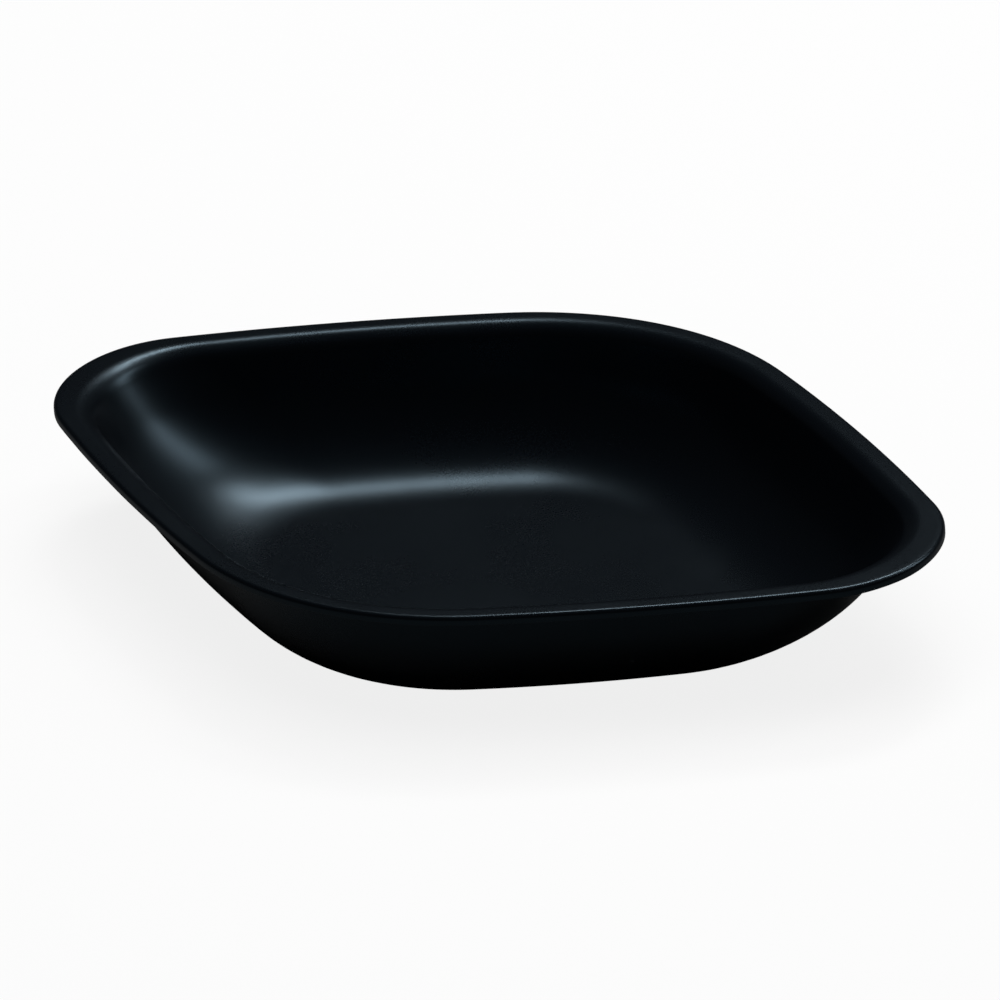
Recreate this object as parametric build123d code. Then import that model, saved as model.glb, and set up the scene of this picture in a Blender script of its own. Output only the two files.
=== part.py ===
from build123d import *
import math
import os

# Weighing boat: one thermoformed plastic sheet with a rounded diamond plan, a flat floor, drafted
# walls, a flat flange and a turned-down lip.  Millimetres, +Z up.  The long diagonal lies along X
# and the origin is the centre of the floor's underside.

# Rim: the lip's outer face, seen from above
RIM_LENGTH = 133.0
RIM_WIDTH = 89.0
RIM_TIP_RADIUS = 17.4
RIM_CORNER_RADIUS = 44.7
RIM_SIDE_RADIUS = 311.0

# Height and sheet
HEIGHT = 19.0
SHEET = 0.4

# Lip
LIP_HEIGHT = 1.3
LIP_BEND_RADIUS = 0.2

# Flange, from the rim to the mouth, where the walls would meet its top in a sharp edge
FLANGE_AT_TIP = 4.9
FLANGE_AT_CORNER = 3.4
MOUTH_TIP_RADIUS = 15.5
MOUTH_BEND_REACH = 1.7

# Foot, where the walls would meet the bench in a sharp edge, set in from the mouth
WALL_LEAN_AT_TIP = 13.2
WALL_LEAN_AT_CORNER = 3.3
FOOT_TIP_RADIUS = 23.7

# Bend from the foot in to the flat of the floor
FLOOR_BEND_AT_TIP = 13.4
FLOOR_BEND_AT_CORNER = 12.0
FLOOR_TIP_RADIUS = 11.8


def facing(angle):
    """The level direction at an angle, in radians, from +X."""
    return Vector(math.cos(angle), math.sin(angle))


def side_turns():
    """The directions, in radians, in which the rim's side arc meets its tip arc and corner arc."""
    tip_centre = Vector(RIM_LENGTH / 2 - RIM_TIP_RADIUS, 0)
    corner_centre = Vector(0, RIM_WIDTH / 2 - RIM_CORNER_RADIUS)
    to_tip = RIM_SIDE_RADIUS - RIM_TIP_RADIUS
    to_corner = RIM_SIDE_RADIUS - RIM_CORNER_RADIUS
    span = corner_centre - tip_centre
    along = (to_tip**2 - to_corner**2 + span.length**2) / (2 * span.length)
    across = math.sqrt(to_tip**2 - along**2)
    unit = span.normalized()
    side_centre = tip_centre + unit * along + Vector(-unit.Y, unit.X) * across
    from_tip = tip_centre - side_centre
    from_corner = corner_centre - side_centre
    return math.atan2(from_tip.Y, from_tip.X), math.atan2(from_corner.Y, from_corner.X)


TIP_TURN, CORNER_TURN = side_turns()
SIDE_TURN = (TIP_TURN + CORNER_TURN) / 2


class Ring:
    """A level rounded diamond of eight tangent arcs: two tips, two corners and four long sides.

    Its sides face the same way as the rim's, so its length, width and tip radius fix its corner
    and side radii.  A blend or an inset of rings is then a ring whose arcs still match.
    """

    def __init__(self, length, width, tip_radius, z):
        self.length = length
        self.width = width
        self.tip_radius = tip_radius
        self.z = z

    def narrowed(self, at_tip, at_corner, tip_radius, z):
        """A ring inside this one, set in by one distance at the tips and another at the corners."""
        return Ring(self.length - 2 * at_tip, self.width - 2 * at_corner, tip_radius, z)

    def blend(self, other, share):
        """The ring that is a share of the way to another."""
        return Ring(
            self.length + (other.length - self.length) * share,
            self.width + (other.width - self.width) * share,
            self.tip_radius + (other.tip_radius - self.tip_radius) * share,
            self.z + (other.z - self.z) * share,
        )

    def moved(self, inset, rise):
        """The ring set in evenly all round and raised."""
        length = self.length - 2 * inset
        width = self.width - 2 * inset
        return Ring(length, width, self.tip_radius - inset, self.z + rise)

    def corner_and_side_radius(self):
        """The radii that join the tips to the corners with no kink."""
        corner = facing(CORNER_TURN)
        across_x = facing(TIP_TURN).X - corner.X
        across_y = corner.Y - facing(TIP_TURN).Y
        reach_x = self.length / 2 - self.tip_radius * (1 - facing(TIP_TURN).X)
        reach_y = self.width / 2 - self.tip_radius * facing(TIP_TURN).Y
        spread = across_x * (1 - corner.Y) - across_y * corner.X
        side_radius = (reach_x * (1 - corner.Y) - reach_y * corner.X) / spread
        corner_radius = (reach_y * across_x - reach_x * across_y) / spread
        return corner_radius, side_radius

    def arcs(self):
        """Centre, radius, start and end direction of each arc, counter-clockwise from the +X tip."""
        corner_radius, side_radius = self.corner_and_side_radius()
        tip = Vector(self.length / 2 - self.tip_radius, 0)
        corner = Vector(0, self.width / 2 - corner_radius)
        side = tip - facing(TIP_TURN) * (side_radius - self.tip_radius)
        half = math.pi
        return [
            (tip, self.tip_radius, -TIP_TURN, TIP_TURN),
            (side, side_radius, TIP_TURN, CORNER_TURN),
            (corner, corner_radius, CORNER_TURN, half - CORNER_TURN),
            (Vector(-side.X, side.Y), side_radius, half - CORNER_TURN, half - TIP_TURN),
            (-tip, self.tip_radius, half - TIP_TURN, half + TIP_TURN),
            (-side, side_radius, half + TIP_TURN, half + CORNER_TURN),
            (-corner, corner_radius, half + CORNER_TURN, 2 * half - CORNER_TURN),
            (Vector(side.X, -side.Y), side_radius, 2 * half - CORNER_TURN, 2 * half - TIP_TURN),
        ]

    def side_reach(self):
        """Distance from the centre to the middle of a long side, square to that side."""
        centre, radius, _, _ = self.arcs()[1]
        return centre.dot(facing(SIDE_TURN)) + radius

    def nets(self):
        """Each arc as three control points, at this ring's height, and their weights."""
        nets = []
        for centre, radius, start, end in self.arcs():
            middle_weight = math.cos((end - start) / 2)
            middle = centre + facing((start + end) / 2) * (radius / middle_weight)
            ends = [centre + facing(start) * radius, centre + facing(end) * radius]
            points = [ends[0], middle, ends[1]]
            nets.append(([point + Vector(0, 0, self.z) for point in points], [1, middle_weight, 1]))
        return nets


def disc(ring):
    """The flat face that fills a ring."""
    return Face(Wire([Edge.make_bezier(*points, weights=weights) for points, weights in ring.nets()]))


def band(rings, ring_weights):
    """Eight faces between two rings, or round a bend whose middle ring is where its sides meet."""
    faces = []
    for patch in zip(*[ring.nets() for ring in rings]):
        points = [points for points, _ in patch]
        weights = [[weight * across for across in net] for weight, (_, net) in zip(ring_weights, patch)]
        faces.append(Face.make_bezier_surface(points, weights))
    return faces


RIM = Ring(RIM_LENGTH, RIM_WIDTH, RIM_TIP_RADIUS, HEIGHT)
MOUTH = RIM.narrowed(FLANGE_AT_TIP, FLANGE_AT_CORNER, MOUTH_TIP_RADIUS, HEIGHT)
FOOT = MOUTH.narrowed(WALL_LEAN_AT_TIP, WALL_LEAN_AT_CORNER, FOOT_TIP_RADIUS, 0)
FLOOR = FOOT.narrowed(FLOOR_BEND_AT_TIP, FLOOR_BEND_AT_CORNER, FLOOR_TIP_RADIUS, 0)

# The wall's underside runs straight from the mouth to the foot.  Its lean from upright and its
# length are those across a long side.
WALL_RUN = MOUTH.side_reach() - FOOT.side_reach()
WALL_LENGTH = math.hypot(WALL_RUN, HEIGHT)
DRAFT = math.atan2(WALL_RUN, HEIGHT)
HALF_BEND = (math.pi / 2 - DRAFT) / 2
BEND_WEIGHT = math.cos(HALF_BEND)


def bend_skin(flat, corner, wall, skin):
    """The three rings of a bend from a flat into the wall, moved out to one side of the sheet."""
    return [
        flat.moved(0, skin),
        corner.moved(skin * math.tan(HALF_BEND), skin),
        wall.moved(skin * math.cos(DRAFT), skin * math.sin(DRAFT)),
    ]


def floor_bend(skin):
    """The bend from the floor up into the wall, as long on the wall as it is on the floor."""
    reach = FOOT.side_reach() - FLOOR.side_reach()
    return bend_skin(FLOOR, FOOT, FOOT.blend(MOUTH, reach / WALL_LENGTH), skin)


def mouth_bend(skin):
    """The bend from the wall out into the flange."""
    corner = MOUTH.blend(FOOT, SHEET / HEIGHT)
    flat = corner.moved(-MOUTH_BEND_REACH, 0)
    wall = MOUTH.blend(FOOT, SHEET / HEIGHT + MOUTH_BEND_REACH / WALL_LENGTH)
    return bend_skin(flat, corner, wall, skin)[::-1]


def lip_bend(skin):
    """The bend from the flange down into the lip."""
    flange = RIM.moved(SHEET + LIP_BEND_RADIUS, skin - SHEET)
    edge = RIM.moved(SHEET - skin, skin - SHEET)
    lip = RIM.moved(SHEET - skin, -SHEET - LIP_BEND_RADIUS)
    return [flange, edge, lip]


def skin_faces(skin):
    """The faces of one side of the sheet, from the floor to the lip's lower edge."""
    bends = [floor_bend(skin), mouth_bend(skin), lip_bend(skin)]
    bend_weights = [BEND_WEIGHT, BEND_WEIGHT, math.sqrt(0.5)]
    lip_edge = RIM.moved(SHEET - skin, -LIP_HEIGHT)
    faces = [disc(bends[0][0])]
    for rings, weight in zip(bends, bend_weights):
        faces += band(rings, [1, weight, 1])
    for start, end in zip(bends, bends[1:] + [[lip_edge]]):
        faces += band([start[-1], end[0]], [1, 1])
    return faces


def weighing_boat():
    """The whole boat: its two skins, closed along the cut edge of the lip."""
    cut_edge = band([RIM.moved(0, -LIP_HEIGHT), RIM.moved(SHEET, -LIP_HEIGHT)], [1, 1])
    return Solid(Shell(skin_faces(SHEET) + skin_faces(0) + cut_edge))


os.makedirs("parts", exist_ok=True)
boat = weighing_boat()
boat.label = "weighing_boat"
export_step(boat, "parts/weighing_boat.step")
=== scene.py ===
import math

import bmesh
import bpy
from bpy.props import FloatProperty, FloatVectorProperty, IntProperty, PointerProperty
from mathutils import Matrix, Vector, noise


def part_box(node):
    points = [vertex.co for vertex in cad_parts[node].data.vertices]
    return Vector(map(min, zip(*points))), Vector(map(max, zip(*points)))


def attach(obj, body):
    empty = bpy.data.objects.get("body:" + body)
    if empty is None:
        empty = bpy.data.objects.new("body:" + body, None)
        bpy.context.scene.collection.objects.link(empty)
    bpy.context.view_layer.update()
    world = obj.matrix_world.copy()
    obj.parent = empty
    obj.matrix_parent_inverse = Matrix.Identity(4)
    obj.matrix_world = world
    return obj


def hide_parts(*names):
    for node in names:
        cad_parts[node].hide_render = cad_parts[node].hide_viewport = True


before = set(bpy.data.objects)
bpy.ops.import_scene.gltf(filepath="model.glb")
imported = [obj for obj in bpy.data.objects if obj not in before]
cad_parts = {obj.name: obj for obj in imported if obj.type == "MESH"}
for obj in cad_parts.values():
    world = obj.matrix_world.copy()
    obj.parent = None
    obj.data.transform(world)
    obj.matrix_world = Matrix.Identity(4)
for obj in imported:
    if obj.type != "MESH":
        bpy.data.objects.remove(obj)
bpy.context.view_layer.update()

bl_info = {
    "name": "Weighing Boat",
    "version": (1, 0, 0),
    "blender": (4, 5, 0),
    "location": "View3D > Sidebar > Weighing Boat",
    "description": "Builds a black thermoformed weighing boat on a pale studio floor",
    "category": "Object",
}

LOW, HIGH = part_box("weighing_boat")
MM = 0.001

# Faces across the section's parts, from the floor bend to the lip's cut edge
WALL_STEPS = 5
MOUTH_BEND_STEPS = 12
FLANGE_STEPS = 4
LIP_BEND_STEPS = 6
LIP_STEPS = 3
CUT_EDGE_STEPS = 3

# Distance over which the cut edge strays up and back down
WANDER_LENGTH = 6 * MM


# ---------------------------------------------------------------- sizes and colours


class BoatShape(bpy.types.PropertyGroup):
    """Sizes of the boat."""

    length: FloatProperty(
        name="Length", description="Rim length along the long diagonal",
        default=HIGH[0] - LOW[0], unit="LENGTH")
    width: FloatProperty(
        name="Width", description="Rim width along the short diagonal",
        default=HIGH[1] - LOW[1], unit="LENGTH")
    height: FloatProperty(
        name="Height", description="Height of the flange's top above the bench",
        default=HIGH[2] - LOW[2], unit="LENGTH")
    sheet: FloatProperty(
        name="Sheet", description="Thickness of the plastic sheet",
        default=0.4 * MM, unit="LENGTH")
    tip_radius: FloatProperty(
        name="Tip Radius", description="Radius of the rim at the two tips",
        default=17.4 * MM, unit="LENGTH")
    corner_radius: FloatProperty(
        name="Corner Radius", description="Radius of the rim at the two wide corners",
        default=44.7 * MM, unit="LENGTH")
    side_radius: FloatProperty(
        name="Side Radius", description="Radius of the rim's four slightly bowed sides",
        default=311 * MM, unit="LENGTH")
    lip_height: FloatProperty(
        name="Lip Height", description="Height of the turned-down lip",
        default=1.3 * MM, unit="LENGTH")
    lip_bend_radius: FloatProperty(
        name="Lip Bend Radius", description="Inside radius of the bend from flange to lip",
        default=0.2 * MM, unit="LENGTH")
    edge_radius: FloatProperty(
        name="Edge Radius", description="Rounding of the lip's cut edge",
        default=0.08 * MM, unit="LENGTH")
    edge_wander: FloatProperty(
        name="Edge Wander", description="How far the lip's cut edge strays up from a true line",
        default=0.1 * MM, unit="LENGTH")
    flange_at_tip: FloatProperty(
        name="Flange at Tip", description="From the rim to the mouth's sharp edge at a tip",
        default=4.9 * MM, unit="LENGTH")
    flange_at_corner: FloatProperty(
        name="Flange at Corner", description="From the rim to the mouth's sharp edge at a corner",
        default=3.4 * MM, unit="LENGTH")
    mouth_tip_radius: FloatProperty(
        name="Mouth Tip Radius", description="Radius of the mouth at a tip",
        default=15.5 * MM, unit="LENGTH")
    mouth_bend_reach: FloatProperty(
        name="Mouth Bend Reach", description="From the mouth's sharp edge to where its bend begins",
        default=1.7 * MM, unit="LENGTH")
    foot_length: FloatProperty(
        name="Foot Length", description="Length where the walls would meet the bench",
        default=96.8 * MM, unit="LENGTH")
    foot_width: FloatProperty(
        name="Foot Width", description="Width where the walls would meet the bench",
        default=75.6 * MM, unit="LENGTH")
    foot_tip_radius: FloatProperty(
        name="Foot Tip Radius", description="Tip radius where the walls would meet the bench",
        default=23.7 * MM, unit="LENGTH")
    floor_length: FloatProperty(
        name="Floor Length", description="Length of the flat of the floor",
        default=70 * MM, unit="LENGTH")
    floor_width: FloatProperty(
        name="Floor Width", description="Width of the flat of the floor",
        default=51.6 * MM, unit="LENGTH")
    floor_tip_radius: FloatProperty(
        name="Floor Tip Radius", description="Tip radius of the flat of the floor",
        default=11.8 * MM, unit="LENGTH")
    bend_steps: IntProperty(
        name="Bend Steps", description="Faces across the bend into the floor", default=22)
    tip_steps: IntProperty(
        name="Tip Steps", description="Faces along each tip and wide corner", default=36)
    side_steps: IntProperty(
        name="Side Steps", description="Faces along each long side", default=26)


class BoatFinish(bpy.types.PropertyGroup):
    """Look of the black plastic."""

    colour: FloatVectorProperty(
        name="Colour", description="Colour of the plastic",
        default=(0.0022, 0.0030, 0.0044), subtype="COLOR", size=3)
    gloss_colour: FloatVectorProperty(
        name="Gloss Colour", description="Cool tint of the plastic's highlights",
        default=(0.52, 0.80, 1.0), subtype="COLOR", size=3)
    dust_colour: FloatVectorProperty(
        name="Dust Colour", description="Colour of the few specks of dust",
        default=(0.06, 0.065, 0.07), subtype="COLOR", size=3)
    roughness: FloatProperty(
        name="Roughness", description="Mean roughness of the satin face", default=0.28)
    dust_spacing: FloatProperty(
        name="Dust Spacing", description="Size of the cells, a few of which hold a speck of dust",
        default=7 * MM, unit="LENGTH")
    grain_size: FloatProperty(
        name="Grain Size", description="Size of the moulded grain", default=0.35 * MM, unit="LENGTH")
    ripple_size: FloatProperty(
        name="Ripple Size", description="Size of the sheet's faint ripples",
        default=9 * MM, unit="LENGTH")


class Studio(bpy.types.PropertyGroup):
    """Camera and lights."""

    azimuth: FloatProperty(
        name="Azimuth", description="Camera's turn about the boat",
        default=math.radians(33.76), subtype="ANGLE", unit="ROTATION")
    elevation: FloatProperty(
        name="Elevation", description="Camera's height angle",
        default=math.radians(27.04), subtype="ANGLE", unit="ROTATION")
    roll: FloatProperty(
        name="Roll", description="Camera's turn about its own axis",
        default=math.radians(-4.44), subtype="ANGLE", unit="ROTATION")
    distance: FloatProperty(
        name="Distance", description="From the camera to the middle of the rim",
        default=1.5, unit="LENGTH")
    lens: FloatProperty(name="Lens", description="Focal length in millimetres", default=408.0)
    aim_right: FloatProperty(
        name="Aim Right", description="How far right of the rim's middle the camera looks",
        default=1.1 * MM, unit="LENGTH")
    aim_down: FloatProperty(
        name="Aim Down", description="How far below the rim's middle the camera looks",
        default=5.28 * MM, unit="LENGTH")


# ---------------------------------------------------------------- the boat's shell


def facing(angle):
    """The level direction at an angle from +X."""
    return Vector((math.cos(angle), math.sin(angle), 0))


def side_turns(shape):
    """The directions in which the rim's side arc meets its tip arc and its corner arc."""
    tip_centre = Vector((shape.length / 2 - shape.tip_radius, 0))
    corner_centre = Vector((0, shape.width / 2 - shape.corner_radius))
    to_tip = shape.side_radius - shape.tip_radius
    to_corner = shape.side_radius - shape.corner_radius
    span = corner_centre - tip_centre
    along = (to_tip**2 - to_corner**2 + span.length_squared) / (2 * span.length)
    across = math.sqrt(to_tip**2 - along**2)
    unit = span.normalized()
    side_centre = tip_centre + unit * along + Vector((-unit.y, unit.x)) * across
    from_tip = tip_centre - side_centre
    from_corner = corner_centre - side_centre
    return math.atan2(from_tip.y, from_tip.x), math.atan2(from_corner.y, from_corner.x)


class Ring:
    """A level rounded diamond: two tips, two wide corners and four long sides, all tangent.

    The sides of every ring of one boat face the same way, so its length, width and tip radius
    fix the rest, and a mix or an inset of rings is one of them too.
    """

    def __init__(self, turns, length, width, tip_radius, z):
        self.turns = turns
        self.length = length
        self.width = width
        self.tip_radius = tip_radius
        self.z = z

    def moved(self, inset, rise):
        """The ring set in evenly all round and raised."""
        length = self.length - 2 * inset
        width = self.width - 2 * inset
        return Ring(self.turns, length, width, self.tip_radius - inset, self.z + rise)

    def arcs(self):
        """Centre, radius, start and end direction of each arc, from the +X tip round to it."""
        tip_turn, corner_turn = self.turns
        at_tip = facing(tip_turn)
        at_corner = facing(corner_turn)
        across_x = at_tip.x - at_corner.x
        across_y = at_corner.y - at_tip.y
        reach_x = self.length / 2 - self.tip_radius * (1 - at_tip.x)
        reach_y = self.width / 2 - self.tip_radius * at_tip.y
        spread = across_x * (1 - at_corner.y) - across_y * at_corner.x
        side_radius = (reach_x * (1 - at_corner.y) - reach_y * at_corner.x) / spread
        corner_radius = (reach_y * across_x - reach_x * across_y) / spread
        tip = Vector((self.length / 2 - self.tip_radius, 0, 0))
        corner = Vector((0, self.width / 2 - corner_radius, 0))
        side = tip - at_tip * (side_radius - self.tip_radius)
        other_side = Vector((-side.x, side.y, 0))
        half = math.pi
        return [
            (tip, self.tip_radius, -tip_turn, tip_turn),
            (side, side_radius, tip_turn, corner_turn),
            (corner, corner_radius, corner_turn, half - corner_turn),
            (other_side, side_radius, half - corner_turn, half - tip_turn),
            (-tip, self.tip_radius, half - tip_turn, half + tip_turn),
            (-side, side_radius, half + tip_turn, half + corner_turn),
            (-corner, corner_radius, half + corner_turn, 2 * half - corner_turn),
            (-other_side, side_radius, 2 * half - corner_turn, 2 * half - tip_turn),
        ]

    def side_reach(self):
        """Distance from the centre to the middle of a long side, square to that side."""
        centre, radius, start, end = self.arcs()[1]
        return centre.dot(facing((start + end) / 2)) + radius

    def points(self, counts):
        """Points along the ring, with a count for each arc."""
        points = []
        for (centre, radius, start, end), count in zip(self.arcs(), counts):
            for step in range(count):
                point = centre + facing(start + (end - start) * step / count) * radius
                points.append(point + Vector((0, 0, self.z)))
        return points


def mixed(rings, shares):
    """The ring that is a share of each of several rings."""
    whole = sum(shares)

    def total(name):
        return sum(getattr(ring, name) * share for ring, share in zip(rings, shares)) / whole

    return Ring(rings[0].turns, total("length"), total("width"), total("tip_radius"), total("z"))


def straight(start, end, count):
    """Rings between two, without the two."""
    return [mixed([start, end], [count - step, step]) for step in range(1, count)]


def bend(rings, weight, count):
    """Rings round a bend from the first to the last; the middle one is where its sides meet."""
    bent = []
    for step in range(count + 1):
        share = step / count
        shares = [(1 - share) ** 2, 2 * share * (1 - share) * weight, share**2]
        bent.append(mixed(rings, shares))
    return bent


def shell_section(shape):
    """The sheet's closed section as a list of rings, from the floor's underside round to its top."""
    turns = side_turns(shape)
    sheet = shape.sheet
    rim = Ring(turns, shape.length, shape.width, shape.tip_radius, shape.height)
    mouth_length = shape.length - 2 * shape.flange_at_tip
    mouth_width = shape.width - 2 * shape.flange_at_corner
    mouth = Ring(turns, mouth_length, mouth_width, shape.mouth_tip_radius, shape.height)
    foot = Ring(turns, shape.foot_length, shape.foot_width, shape.foot_tip_radius, 0)
    floor = Ring(turns, shape.floor_length, shape.floor_width, shape.floor_tip_radius, 0)
    wall_run = mouth.side_reach() - foot.side_reach()
    wall_length = math.hypot(wall_run, shape.height)
    draft = math.atan2(wall_run, shape.height)
    half_bend = (math.pi / 2 - draft) / 2

    def wall(down):
        """The wall's underside at a share of the way from the mouth to the foot."""
        return mixed([mouth, foot], [1 - down, down])

    def bend_skin(flat, corner, wall_end, skin):
        """A bend between a flat and the wall, moved out to one side of the sheet."""
        return [
            flat.moved(0, skin),
            corner.moved(skin * math.tan(half_bend), skin),
            wall_end.moved(skin * math.cos(draft), skin * math.sin(draft)),
        ]

    def skin_rings(skin):
        """One side of the sheet from the floor up to the flange and down to the lip's edge."""
        floor_reach = (foot.side_reach() - floor.side_reach()) / wall_length
        floor_bend = bend_skin(floor, foot, wall(1 - floor_reach), skin)
        under_flange = sheet / shape.height
        corner = wall(under_flange)
        wall_end = wall(under_flange + shape.mouth_bend_reach / wall_length)
        mouth_bend = bend_skin(corner.moved(-shape.mouth_bend_reach, 0), corner, wall_end, skin)
        side = sheet - skin
        flange = rim.moved(sheet + shape.lip_bend_radius, -side)
        lip_bend = [flange, rim.moved(side, -side), rim.moved(side, -sheet - shape.lip_bend_radius)]
        edge = shape.edge_radius
        inward = edge if skin else -edge
        cut_edge = [
            rim.moved(side, edge - shape.lip_height),
            rim.moved(side, -shape.lip_height),
            rim.moved(side + inward, -shape.lip_height),
        ]
        right_angle = math.sqrt(0.5)
        return (
            bend(floor_bend, math.cos(half_bend), shape.bend_steps)
            + straight(floor_bend[2], mouth_bend[2], WALL_STEPS)
            + bend(mouth_bend[::-1], math.cos(half_bend), MOUTH_BEND_STEPS)
            + straight(mouth_bend[0], flange, FLANGE_STEPS)
            + bend(lip_bend, right_angle, LIP_BEND_STEPS)
            + straight(lip_bend[2], cut_edge[0], LIP_STEPS)
            + bend(cut_edge, right_angle, CUT_EDGE_STEPS)
        )

    return skin_rings(0) + skin_rings(sheet)[::-1]


def next_ring(bm, verts):
    """Extrude a closed ring of verts and return the new ones in the same order."""
    ring = set(verts)
    found = [edge for vert in verts for edge in vert.link_edges if edge.other_vert(vert) in ring]
    edges = list(dict.fromkeys(found))
    grown = set(bmesh.ops.extrude_edge_only(bm, edges=edges)["geom"])
    new = []
    for vert in verts:
        new += [edge.other_vert(vert) for edge in vert.link_edges if edge.other_vert(vert) in grown]
    return new


def wander_cut_edge(bm, shape):
    """Let the lip's lower edge stray up a little, as a trimmed edge does."""
    edge_z = shape.height - shape.lip_height
    outer = shape.lip_height - shape.sheet - shape.lip_bend_radius
    for vert in bm.verts:
        low = 1 - (vert.co.z - edge_z) / outer
        out = vert.co.xy.length > shape.width / 2 - shape.flange_at_corner
        if 0 < low <= 1 and out:
            stray = 0.5 + 0.5 * noise.noise(Vector((vert.co.x, vert.co.y, 0)) / WANDER_LENGTH)
            vert.co.z += shape.edge_wander * stray * low


def build_shell(shape):
    """Extrude one ring round the sheet's section; the floor's two faces close it."""
    counts = [shape.tip_steps, shape.side_steps] * 4
    bm = bmesh.new()
    circle = bmesh.ops.create_circle(
        bm, segments=sum(counts), radius=shape.length, cap_ends=True)
    verts = circle["verts"]
    for index, ring in enumerate(shell_section(shape)):
        if index:
            verts = next_ring(bm, verts)
        for vert, point in zip(verts, ring.points(counts)):
            vert.co = point
    bmesh.ops.contextual_create(bm, geom=verts)
    wander_cut_edge(bm, shape)
    bmesh.ops.recalc_face_normals(bm, faces=bm.faces)
    return bm


def add_object(name, bm):
    """Turn a bmesh into an object at the origin."""
    mesh = bpy.data.meshes.new(name)
    bm.to_mesh(mesh)
    bm.free()
    piece = bpy.data.objects.new(name, mesh)
    bpy.context.scene.collection.objects.link(piece)
    return piece


# ---------------------------------------------------------------- materials


class Value:
    """A shader socket that can be used in sums."""

    def __init__(self, graph, socket):
        self.graph = graph
        self.socket = socket

    def maths(self, operation, other):
        node = self.graph.node("ShaderNodeMath", {0: self, 1: other}, operation=operation)
        return self.graph.value(node, 0)

    def __add__(self, other):
        return self.maths("ADD", other)

    def __mul__(self, other):
        return self.maths("MULTIPLY", other)

    def __sub__(self, other):
        return self.maths("SUBTRACT", other)

    def __rsub__(self, other):
        return (self * -1) + other

    __radd__ = __add__
    __rmul__ = __mul__

    def band(self, low, high):
        """0 below low, 1 above high and a smooth step between; the other way round if low > high."""
        node = self.graph.node(
            "ShaderNodeMapRange",
            {0: self, 1: low, 2: high, 3: 0.0, 4: 1.0},
            interpolation_type="SMOOTHSTEP",
        )
        return self.graph.value(node, 0)


class Graph:
    """The nodes of a material or the world, made one call at a time."""

    def __init__(self, owner):
        self.owner = owner
        owner.use_nodes = True
        self.tree = owner.node_tree
        self.tree.nodes.clear()

    def node(self, kind, values=None, **settings):
        """A node with its settings made first, then its sockets set or linked."""
        node = self.tree.nodes.new(kind)
        for key, setting in settings.items():
            setattr(node, key, setting)
        for key, value in (values or {}).items():
            if isinstance(value, Value):
                self.tree.links.new(value.socket, node.inputs[key])
            else:
                node.inputs[key].default_value = value
        return node

    def value(self, node, output):
        return Value(self, node.outputs[output])

    def finish(self, output, surface):
        """Link the last shader to the output and return what the graph belongs to."""
        self.node(output, {"Surface": surface})
        return self.owner


def black_plastic(finish):
    """Satin black sheet: a fine grain, faint ripples, a varying sheen and a few specks of dust."""
    graph = Graph(bpy.data.materials.new("black_plastic"))
    where = graph.value(graph.node("ShaderNodeTexCoord"), "Object")

    def clouds(size, detail):
        node = graph.node(
            "ShaderNodeTexNoise", {"Vector": where, "Scale": 1 / size, "Detail": detail})
        return graph.value(node, 0)

    grain = clouds(finish.grain_size, 2.0)
    ripple = clouds(finish.ripple_size, 1.0)
    patches = clouds(2.2 * finish.ripple_size, 3.0)
    cells = graph.node("ShaderNodeTexVoronoi", {"Vector": where, "Scale": 1 / finish.dust_spacing})
    from_speck = graph.value(cells, "Distance")
    pick = graph.node("ShaderNodeSeparateColor", {0: graph.value(cells, "Color")})
    chosen = graph.value(pick, 0).band(0.86, 0.9)
    dust = from_speck.band(0.045, 0.02) * chosen

    colour = graph.node(
        "ShaderNodeMix",
        {0: dust, 6: (*finish.colour, 1), 7: (*finish.dust_colour, 1)},
        data_type="RGBA",
    )
    grain_height, ripple_height, dust_height = 0.003, 0.10, 0.05
    relief = grain * grain_height + ripple * ripple_height + dust * dust_height
    bump = graph.node("ShaderNodeBump", {"Height": relief, "Strength": 0.25, "Distance": MM})
    patch_sheen, grain_sheen, dust_sheen = 0.10, 0.03, 0.3
    sheen = (patches - 0.5) * patch_sheen + (grain - 0.5) * grain_sheen + dust * dust_sheen
    shader = graph.node(
        "ShaderNodeBsdfPrincipled",
        {
            "Base Color": graph.value(colour, 2),
            "Roughness": sheen + finish.roughness,
            "Normal": graph.value(bump, 0),
            "IOR": 1.5,
            "Specular Tint": (*finish.gloss_colour, 1),
        },
    )
    return graph.finish("ShaderNodeOutputMaterial", graph.value(shader, 0))


def to_camera_or_boat(graph, camera_shader, boat_shader):
    """One shader as the camera sees it and another as it lights the boat."""
    rays = graph.node("ShaderNodeLightPath")
    both = graph.node(
        "ShaderNodeMixShader",
        {
            0: graph.value(rays, "Is Camera Ray"),
            1: graph.value(boat_shader, 0),
            2: graph.value(camera_shader, 0),
        },
    )
    return graph.value(both, 0)


def pale_floor():
    """White floor with a soft shadow; the boat itself is lit as if it stood on a dim bench."""
    graph = Graph(bpy.data.materials.new("pale_floor"))
    lit = graph.node("ShaderNodeBsdfDiffuse", {"Color": (0.93, 0.93, 0.93, 1)})
    plain = graph.node("ShaderNodeEmission", {"Color": (1, 1, 1, 1), "Strength": 1.0})
    plain_share = 0.85
    white = graph.node(
        "ShaderNodeMixShader", {0: plain_share, 1: graph.value(lit, 0), 2: graph.value(plain, 0)})
    dim = graph.node("ShaderNodeBsdfDiffuse", {"Color": (0.12, 0.12, 0.12, 1)})
    return graph.finish("ShaderNodeOutputMaterial", to_camera_or_boat(graph, white, dim))


# ---------------------------------------------------------------- the stage


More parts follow.
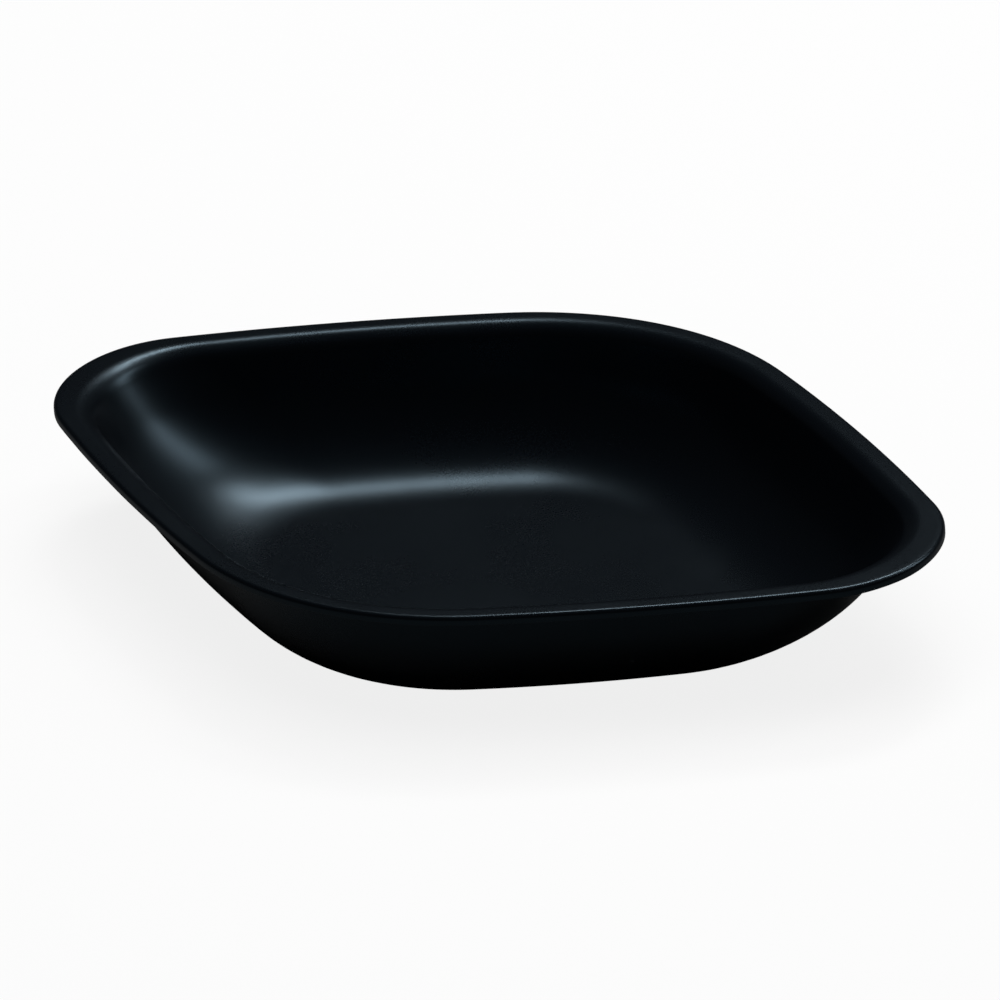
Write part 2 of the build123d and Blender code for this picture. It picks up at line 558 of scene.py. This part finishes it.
# Name; tilt from overhead, turn and spin in degrees; distance and size in metres; brightness;
# whether the boat's gloss shows it
SOFTBOXES = (
    ("main", (29, 113, 0), 1.0, (0.24, 0.22), 11.0, True),
    ("key", (36, 94, 0), 1.0, (0.26, 0.12), 15.0, True),
    ("back", (50, 50, -26), 0.8, (0.14, 0.42), 4.6, True),
    ("low", (47, 110, 0), 1.0, (0.30, 0.10), 0.8, True),
    ("fill", (0, 0, 0), 1.6, (1.5, 1.5), 2.6, False),
)


def camera_axes(studio):
    """The camera's right, up and backward directions."""
    level = math.cos(studio.elevation)
    back = Vector((
        math.sin(studio.azimuth) * level,
        -math.cos(studio.azimuth) * level,
        math.sin(studio.elevation),
    ))
    right = (-back).cross(Vector((0, 0, 1))).normalized()
    up = right.cross(-back)
    roll = Matrix.Rotation(studio.roll, 3, back)
    return roll @ right, roll @ up, back


def add_camera(studio, target):
    """A long lens aimed near the middle of the rim."""
    right, up, back = camera_axes(studio)
    camera = bpy.data.cameras.new("camera")
    camera.lens = studio.lens
    camera.clip_end = 20
    holder = bpy.data.objects.new("camera", camera)
    aim = target + right * studio.aim_right - up * studio.aim_down
    place = Matrix((right, up, back)).transposed().to_4x4()
    place.translation = aim + back * studio.distance
    holder.matrix_world = place
    bpy.context.scene.collection.objects.link(holder)
    bpy.context.scene.camera = holder


def add_softbox(target, name, angles, distance, size, brightness, glossy):
    """A rectangular light aimed at the boat, placed by its tilt from overhead and its turn."""
    tilt, turn, spin = (math.radians(angle) for angle in angles)
    light = bpy.data.lights.new(name, "AREA")
    light.shape = "RECTANGLE"
    light.size, light.size_y = size
    light.energy = brightness * math.pi * size[0] * size[1]
    holder = bpy.data.objects.new(name, light)
    away = facing(turn) * math.sin(tilt) + Vector((0, 0, math.cos(tilt)))
    place = away.to_track_quat("Z", "Y").to_matrix().to_4x4() @ Matrix.Rotation(spin, 4, "Z")
    place.translation = target + away * distance
    holder.matrix_world = place
    holder.visible_glossy = glossy
    bpy.context.scene.collection.objects.link(holder)


def add_world():
    """White to the camera and nearly dark to the boat."""
    graph = Graph(bpy.data.worlds.new("studio"))
    white = graph.node("ShaderNodeBackground", {"Color": (1, 1, 1, 1)})
    dim = graph.node("ShaderNodeBackground", {"Color": (0.9, 1.0, 1.05, 1), "Strength": 0.012})
    surface = to_camera_or_boat(graph, white, dim)
    bpy.context.scene.world = graph.finish("ShaderNodeOutputWorld", surface)


# ---------------------------------------------------------------- operators


class WEIGHBOAT_OT_shell(bpy.types.Operator):
    """Add the boat's one-piece plastic shell"""

    bl_idname = "weighboat.shell"
    bl_label = "Add Boat Shell"

    def execute(self, context):
        shell = add_object("boat_shell", build_shell(context.scene.boat_shape))
        shell.data.shade_smooth()
        shell.data.materials.append(black_plastic(context.scene.boat_finish))
        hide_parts("weighing_boat")
        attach(shell, "root")
        return {"FINISHED"}


class WEIGHBOAT_OT_stage(bpy.types.Operator):
    """Add the floor, the lights, the world and the camera"""

    bl_idname = "weighboat.stage"
    bl_label = "Add Stage"

    def execute(self, context):
        studio = context.scene.boat_studio
        bm = bmesh.new()
        bmesh.ops.create_grid(bm, x_segments=1, y_segments=1, size=6)
        floor = add_object("floor", bm)
        floor.data.materials.append(pale_floor())
        target = Vector((0, 0, context.scene.boat_shape.height))
        for softbox in SOFTBOXES:
            add_softbox(target, *softbox)
        add_world()
        add_camera(studio, target)
        context.scene.view_settings.view_transform = "Standard"
        return {"FINISHED"}


class WEIGHBOAT_PT_panel(bpy.types.Panel):
    """Lists the boat's operators and sizes"""

    bl_label = "Weighing Boat"
    bl_idname = "WEIGHBOAT_PT_panel"
    bl_space_type = "VIEW_3D"
    bl_region_type = "UI"
    bl_category = "Weighing Boat"

    def draw(self, context):
        layout = self.layout
        for operator in OPERATORS:
            layout.operator(operator.bl_idname)
        scene = context.scene
        for group in (scene.boat_shape, scene.boat_finish, scene.boat_studio):
            box = layout.box()
            for name in group.__annotations__:
                box.prop(group, name)


OPERATORS = (WEIGHBOAT_OT_shell, WEIGHBOAT_OT_stage)
CLASSES = (BoatShape, BoatFinish, Studio, *OPERATORS, WEIGHBOAT_PT_panel)


def register():
    for item in CLASSES:
        bpy.utils.register_class(item)
    bpy.types.Scene.boat_shape = PointerProperty(type=BoatShape)
    bpy.types.Scene.boat_finish = PointerProperty(type=BoatFinish)
    bpy.types.Scene.boat_studio = PointerProperty(type=Studio)


def unregister():
    del bpy.types.Scene.boat_studio
    del bpy.types.Scene.boat_finish
    del bpy.types.Scene.boat_shape
    for item in reversed(CLASSES):
        bpy.utils.unregister_class(item)


def main():
    register()
    bpy.ops.weighboat.shell()
    bpy.ops.weighboat.stage()


if __name__ == "__main__":
    main()
